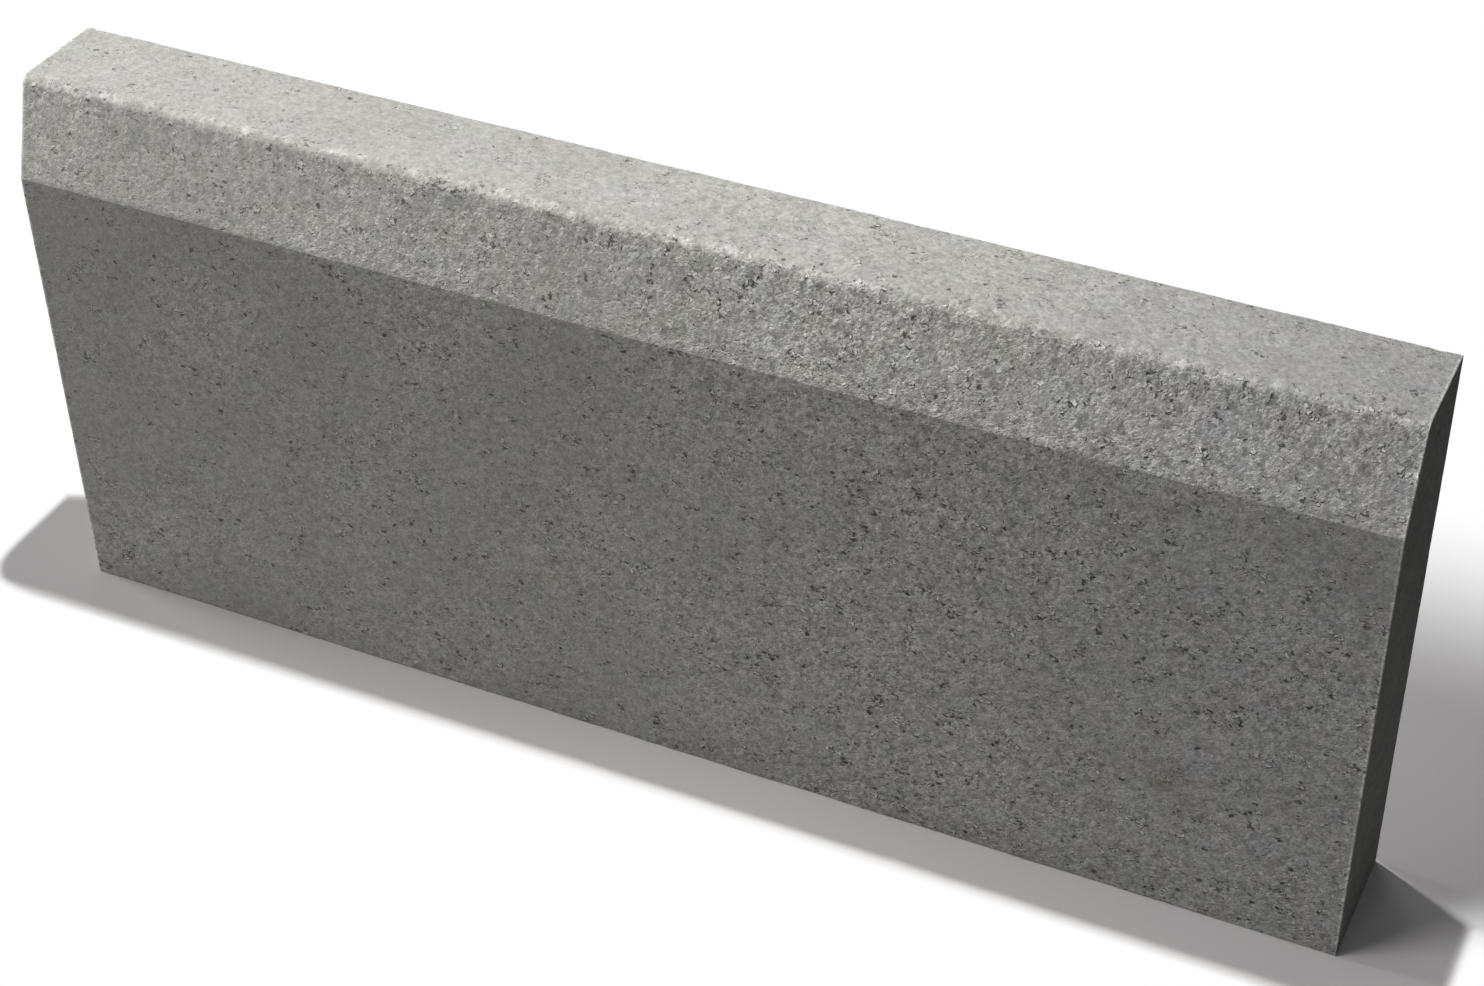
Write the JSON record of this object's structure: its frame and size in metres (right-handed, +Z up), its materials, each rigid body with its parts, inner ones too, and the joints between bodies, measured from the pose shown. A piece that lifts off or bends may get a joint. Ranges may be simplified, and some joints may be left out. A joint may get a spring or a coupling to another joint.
{
  "type": "concrete kerb stone",
  "caption": "Straight concrete kerb stone: an upright slab whose road face leans back in a shallow bevel to a rounded shoulder under a flat top.",
  "frame": {"origin": "middle of the base, the face that the stone stands on", "axes": "+X along the kerb, -Y out of the bevelled road face, +Z up"},
  "size_m": [0.7, 0.07, 0.3],
  "materials": {
    "concrete": "dry pressed concrete, fine sandy grain with small open pores, matt"
  },
  "bodies": {
    "root": {"kerb_stone": "concrete"}
  },
  "joints": []
}
